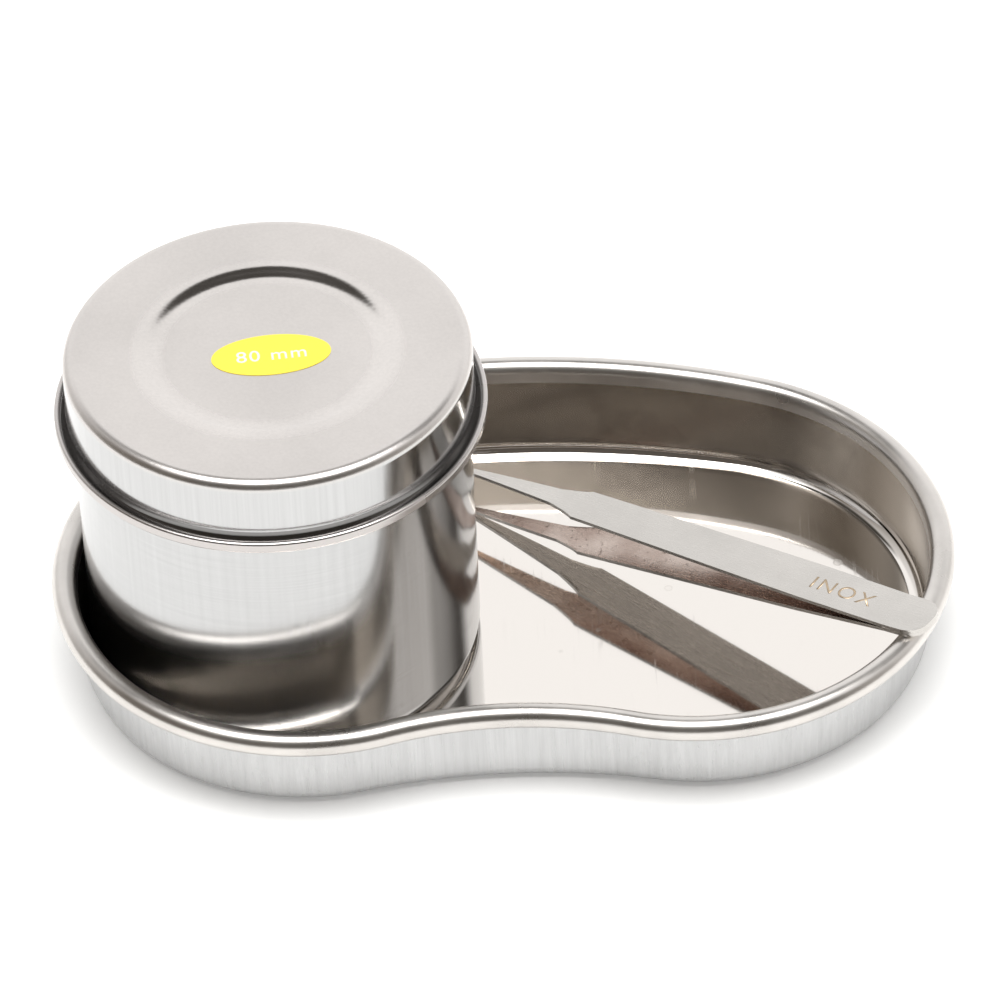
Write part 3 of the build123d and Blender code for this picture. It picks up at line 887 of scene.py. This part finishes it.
def lid_material(lid):
    """Satin top, polished skirt with a painted dark reflection band on the flare, faint speckle."""
    material, nodes, shader, place = steel("lid_steel", lid.steel, lid.roughness)
    around, radius, height = polar(nodes, place, (JAR_AXIS.x, JAR_AXIS.y, LID_HIGH.z))
    near_top = nodes.math("MULTIPLY_ADD", height, 400.0, 1.0, clamp=True)
    top = nodes.ramp(near_top, ((0.1, 0.0), (0.55, 1.0)))
    bend_middle = lid.recess_radius + lid.recess_slope / 2
    off_bend = nodes.math("ABSOLUTE", nodes.math("SUBTRACT", radius, bend_middle))
    slope = nodes.ramp(nodes.math("DIVIDE", off_bend, lid.recess_slope), ((0.42, 1.0), (0.85, 0.0)))
    hazed = nodes.math("MULTIPLY", top, nodes.math("MULTIPLY_ADD", slope, -0.95, 1.0))
    cloud = Shelf.group(nodes, "uneven_polish", Vector=place, Scale=60.0)
    speckle = nodes.noise(place, 1400.0, 2.0)
    satin = nodes.math("MULTIPLY_ADD", cloud, 0.12, lid.roughness - 0.06)
    polished = nodes.math("MULTIPLY_ADD", cloud, 0.06, 0.10)
    rough = nodes.mix(hazed, polished, satin)
    upright = nodes.join(height, nodes.math("MULTIPLY", around, 0.25), 0.0)
    streak = Shelf.group(nodes, "parallel_brushing", Vector=upright, Across=900.0, Along=10.0)
    skirt = Shelf.drift(nodes, lid.skirt_steel, streak, 0.34)
    reach = nodes.math("MULTIPLY", radius, 1 / MM)
    skirt_reach = lid.radius / MM
    # Painted reflection: a near-black band painted on the flare, between the skirt and the lip.
    flare = nodes.math("MULTIPLY", nodes.math("GREATER_THAN", reach, skirt_reach + SKIRT_EDGE),
                       nodes.math("LESS_THAN", reach, skirt_reach + FLARE_EDGE))
    skirt = nodes.mix(nodes.math("MULTIPLY", flare, 0.75), skirt, (0.10, 0.095, 0.09, 1))
    lip = nodes.math("GREATER_THAN", reach, skirt_reach + FLARE_EDGE)
    skirt = nodes.mix(lip, skirt, (0.56, 0.53, 0.515, 1))
    blotch = Shelf.group(nodes, "uneven_polish", Vector=place, Scale=28.0)
    face = Shelf.drift(nodes, Shelf.drift(nodes, lid.steel, blotch, 0.30), speckle, 0.12)
    nodes.paint(shader, nodes.mix(top, skirt, face))
    nodes.roughen(shader, nodes.math("MULTIPLY_ADD", lip, 0.14, rough))
    nodes.bump(shader, nodes.math("MULTIPLY", speckle, top), 0.05)
    return material


def vinyl_material(lid):
    """Flat printed vinyl."""
    material, nodes, shader, place = new_material("label_vinyl")
    grain = nodes.noise(place, 900.0, 2.0)
    tone = nodes.mix(grain, (*lid.vinyl, 1), tuple(c * 0.95 for c in lid.vinyl) + (1,))
    nodes.paint(shader, tone)
    nodes.roughen(shader, nodes.math("MULTIPLY_ADD", grain, 0.1, 0.4))
    return material


def print_material():
    """Pale print on the label."""
    material, nodes, shader, place = new_material("label_print")
    tone = nodes.mix(nodes.noise(place, 2000.0, 2.0), (0.95, 0.95, 0.93, 1), (0.86, 0.86, 0.84, 1))
    nodes.paint(shader, tone)
    shader.inputs["Roughness"].default_value = 0.45
    return material


def arm_vector(nodes, place, arm):
    """The arm's own coordinates: X along it, Y across, Z through."""
    moved = nodes.add("ShaderNodeMapping", vector_type="TEXTURE")
    spot, turn, _ = arm_place(arm).decompose()
    nodes.put(moved.inputs["Vector"], place)
    moved.inputs["Location"].default_value = spot
    moved.inputs["Rotation"].default_value = turn.to_euler()
    return moved.outputs["Vector"]


def arm_material(arm, name, tinted):
    """Steel brushed lengthwise; the tinted one, for the inner faces, is brownish and pitted."""
    material, nodes, shader, place = steel(name, arm.steel, arm.roughness)
    own = arm_vector(nodes, place, arm)
    grain = Shelf.group(nodes, "parallel_brushing", Vector=own, Across=3500.0, Along=90.0)
    cloud = Shelf.group(nodes, "uneven_polish", Vector=own, Scale=90.0)
    rough = nodes.math("MULTIPLY_ADD", grain, 0.16, arm.roughness - 0.08)
    if tinted:
        pit = nodes.ramp(nodes.noise(own, 700.0, 6.0, 0.75), ((0.58, 0.0), (0.70, 1.0)))
        patch = nodes.ramp(cloud, ((0.35, 0.0), (0.65, 1.0)))
        tone = nodes.mix(patch, (0.36, 0.27, 0.23, 1), (0.56, 0.47, 0.42, 1))
        tone = nodes.mix(nodes.math("MULTIPLY", pit, 0.75), tone, (0.10, 0.07, 0.055, 1))
        nodes.paint(shader, tone)
        rough = nodes.math("MULTIPLY_ADD", pit, 0.25, rough)
    else:
        tone = Shelf.drift(nodes, arm.steel, grain, 0.16)
        nodes.paint(shader, Shelf.drift(nodes, tone, cloud, 0.25))
    nodes.roughen(shader, rough)
    nodes.bump(shader, grain, 0.15)
    return material


def etched_material():
    """Tan etched mark."""
    material, nodes, shader, place = steel("etched_mark", (0.60, 0.47, 0.33), 0.45)
    tone = nodes.mix(nodes.noise(place, 3000.0, 2.0), (0.62, 0.50, 0.36, 1), (0.50, 0.38, 0.26, 1))
    nodes.paint(shader, tone)
    return material


# ---- operators ----------------------------------------------------------------------------


class DRESSINGSET_OT_tray(bpy.types.Operator):
    """Build the kidney tray"""

    bl_idname = "dressing_set.tray"
    bl_label = "Build Tray"

    def execute(self, context):
        tray = context.scene.dressing_tray
        bm = build_tray(tray)
        materials = [tray_inside_material(tray), tray_outside_material(tray), bead_material(tray)]
        piece = new_piece(bm, "kidney_tray_shell", "tray", materials, "kidney_tray")
        weigh_normals(piece)
        return {"FINISHED"}


class DRESSINGSET_OT_jar(bpy.types.Operator):
    """Build the jar"""

    bl_idname = "dressing_set.jar"
    bl_label = "Build Jar"

    def execute(self, context):
        jar = context.scene.dressing_jar
        piece = new_piece(build_jar(jar), "jar_cup", "jar", [jar_material(jar)],
                          "jar_body")
        weigh_normals(piece)
        return {"FINISHED"}


class DRESSINGSET_OT_lid(bpy.types.Operator):
    """Build the lid and its label"""

    bl_idname = "dressing_set.lid"
    bl_label = "Build Lid"

    def execute(self, context):
        lid = context.scene.dressing_lid
        piece = new_piece(build_lid(lid), "jar_cap", "lid", [lid_material(lid)], "jar_lid")
        weigh_normals(piece)
        label = new_piece(build_label(lid), "size_label", "lid", [vinyl_material(lid)],
                          "lid_label")
        weigh_normals(label)
        thickness = LABEL_HIGH.z - LABEL_LOW.z
        place = label_place(lid) @ Matrix.Translation((0, 0, thickness))
        letters = text_mesh(lid.label_text, lid.label_letter, 0.03 * MM, place, 1.12, 0.00002)
        new_piece(letters, "size_print", "lid", [print_material()])
        return {"FINISHED"}


class DRESSINGSET_OT_tweezers(bpy.types.Operator):
    """Build the two spring arms and the etched mark"""

    bl_idname = "dressing_set.tweezers"
    bl_label = "Build Tweezers"

    def execute(self, context):
        arm = context.scene.dressing_tweezers
        materials = [arm_material(arm, "arm_brushed_steel", False),
                     arm_material(arm, "arm_tinted_steel", True)]
        arms = ((1, "tweezer_upper_arm", "upper_arm"), (-1, "tweezer_lower_arm", "tweezers"))
        for side, name, body in arms:
            piece = new_piece(build_arm(arm, side), name + "_blade", body, materials,
                              name)
            weigh_normals(piece)
        rise = arm_height(arm, arm.mark_at) * math.cos(arm.splay) + arm.sheet / math.cos(arm.splay)
        place = (arm_place(arm) @ Matrix.Translation((arm.mark_at, 0, rise))
                 @ Matrix.Rotation(-arm.splay, 4, "Y") @ Matrix.Rotation(math.pi, 4, "Z"))
        letters = text_mesh(arm.mark_text, arm.mark_letter, 0.02 * MM, place, 1.2)
        new_piece(letters, "etched_mark", "upper_arm", [etched_material()])
        return {"FINISHED"}


class DRESSINGSET_OT_stage(bpy.types.Operator):
    """Build the floor, the soft light and the camera"""

    bl_idname = "dressing_set.stage"
    bl_label = "Build Stage"

    def execute(self, context):
        stage = context.scene.dressing_stage
        build_floor(stage)
        build_light(context.scene)
        build_camera(context.scene, stage)
        context.scene.view_settings.view_transform = "Standard"
        return {"FINISHED"}


WHITE = (1.0, 1.0, 1.0)
SKY_GAP = (0.06, 0.055, 0.05)
SEEN_BACKDROP = (0.86, 0.86, 0.86)
# The world's colour by turn about X, as shares of half a turn: 0 is the far horizon, 0.5 overhead
# and 1 the near horizon.
SKY_BANDS = (
    (0.00, WHITE), (0.28, WHITE),           # far wall
    (0.31, SKY_GAP), (0.445, SKY_GAP),      # gap between the wall and the softbox
    (0.475, WHITE), (0.62, WHITE),          # softbox overhead
    (0.66, (0.10, 0.09, 0.08)), (0.97, (0.08, 0.07, 0.06)), (1.00, (0.12, 0.11, 0.10)),
)


def build_floor(stage):
    """A wide plain floor just under the tray."""
    bm = bmesh.new()
    bmesh.ops.create_grid(bm, x_segments=4, y_segments=4, size=6.0)
    bmesh.ops.translate(bm, vec=(0, 0, -0.02 * MM), verts=bm.verts)
    mesh = bpy.data.meshes.new("floor")
    bm.to_mesh(mesh)
    bm.free()
    floor = bpy.data.objects.new("floor", mesh)
    bpy.context.scene.collection.objects.link(floor)
    material, nodes, shader, place = new_material("floor_paper")
    shader.inputs["Roughness"].default_value = 0.9
    shader.inputs["Specular IOR Level"].default_value = 0.1
    shader.inputs["Emission Color"].default_value = (1.0, 1.0, 1.0, 1)
    shader.inputs["Emission Strength"].default_value = 0.2
    grain = nodes.noise(place, 300.0, 2.0)
    tone = nodes.mix(grain, (*stage.floor, 1), tuple(c * 0.99 for c in stage.floor) + (1,))
    nodes.paint(shader, tone)
    mesh.materials.append(material)


def build_light(scene):
    """A studio as a world: white far wall, ceiling softbox, darker near side."""
    world = bpy.data.worlds.new("studio")
    scene.world = world
    world.use_nodes = True
    nodes = Nodes(world.node_tree)
    background = world.node_tree.nodes["Background"]
    direction = nodes.add("ShaderNodeTexCoord").outputs["Generated"]
    x, y, z = nodes.split(direction)
    turn = nodes.math("DIVIDE", nodes.math("ARCTAN2", z, y), math.pi)
    over = nodes.ramp(turn, SKY_BANDS)
    right = nodes.ramp(x, ((0.62, 0.0), (0.8, 1.0)))
    left = nodes.ramp(nodes.math("MULTIPLY", x, -1.0), ((0.50, 0.0), (0.66, 1.0)))
    depth = nodes.math("MULTIPLY_ADD", y, 0.5, 0.5)
    level = nodes.ramp(depth, ((0.0, (0.12, 0.11, 0.10)), (0.35, (0.30, 0.28, 0.26)),
                               (0.6, (0.8, 0.79, 0.78)), (1.0, WHITE)))
    dim = nodes.ramp(depth, ((0.0, (0.07, 0.06, 0.05)), (0.5, (0.16, 0.14, 0.12)),
                             (0.75, (0.7, 0.69, 0.68)), (1.0, WHITE)))
    sky = nodes.mix(left, nodes.mix(right, over, level), dim)
    seen = nodes.add("ShaderNodeLightPath").outputs["Is Camera Ray"]
    nodes.put(background.inputs["Color"], nodes.mix(seen, sky, (*SEEN_BACKDROP, 1)))
    background.inputs["Strength"].default_value = 1.15
    lamp = bpy.data.lights.new("ceiling_softbox", "AREA")
    lamp.shape = "RECTANGLE"
    lamp.size = 1.2
    lamp.size_y = 0.7
    lamp.energy = 18.0
    softbox = bpy.data.objects.new("ceiling_softbox", lamp)
    softbox.location = (0.0, -0.2, 1.4)
    scene.collection.objects.link(softbox)


def build_camera(scene, stage):
    """The camera, from its angles about the aimed point on the floor."""
    back = Vector((math.sin(stage.azimuth) * math.cos(stage.elevation),
                   -math.cos(stage.azimuth) * math.cos(stage.elevation), math.sin(stage.elevation)))
    right = (-back).cross(Vector((0, 0, 1))).normalized()
    up = right.cross(-back)
    tilted_right = math.cos(stage.roll) * right + math.sin(stage.roll) * up
    tilted_up = -math.sin(stage.roll) * right + math.cos(stage.roll) * up
    data = bpy.data.cameras.new("camera")
    data.sensor_width = 36.0
    data.lens = stage.lens
    data.clip_end = 20.0
    camera = bpy.data.objects.new("camera", data)
    place = Matrix((tilted_right, tilted_up, back)).transposed().to_4x4()
    place.translation = Vector((stage.aim_x, stage.aim_y, 0)) + back * stage.distance
    camera.matrix_world = place
    scene.collection.objects.link(camera)
    scene.camera = camera


class DRESSINGSET_PT_panel(bpy.types.Panel):
    """Lists the pieces of the dressing set"""

    bl_idname = "DRESSINGSET_PT_panel"
    bl_label = "Dressing Set"
    bl_space_type = "VIEW_3D"
    bl_region_type = "UI"
    bl_category = "Dressing Set"

    def draw(self, context):
        for operator, settings in PANEL_ROWS:
            box = self.layout.box()
            box.operator(operator)
            group = getattr(context.scene, settings)
            for key in group.__annotations__:
                box.prop(group, key)


PANEL_ROWS = (
    ("dressing_set.tray", "dressing_tray"),
    ("dressing_set.jar", "dressing_jar"),
    ("dressing_set.lid", "dressing_lid"),
    ("dressing_set.tweezers", "dressing_tweezers"),
    ("dressing_set.stage", "dressing_stage"),
)
SETTINGS = (TraySettings, JarSettings, LidSettings, TweezerSettings, StageSettings)
CLASSES = SETTINGS + (DRESSINGSET_OT_tray, DRESSINGSET_OT_jar, DRESSINGSET_OT_lid,
                      DRESSINGSET_OT_tweezers, DRESSINGSET_OT_stage, DRESSINGSET_PT_panel)


def register():
    for cls in CLASSES:
        bpy.utils.register_class(cls)
    for (_, name), group in zip(PANEL_ROWS, SETTINGS):
        setattr(bpy.types.Scene, name, PointerProperty(type=group))


def unregister():
    for _, name in PANEL_ROWS:
        delattr(bpy.types.Scene, name)
    for cls in reversed(CLASSES):
        bpy.utils.unregister_class(cls)


def main():
    register()
    for build in ("stage", "tray", "jar", "lid", "tweezers"):
        getattr(bpy.ops.dressing_set, build)()
    bpy.context.view_layer.update()


if __name__ == "__main__":
    main()
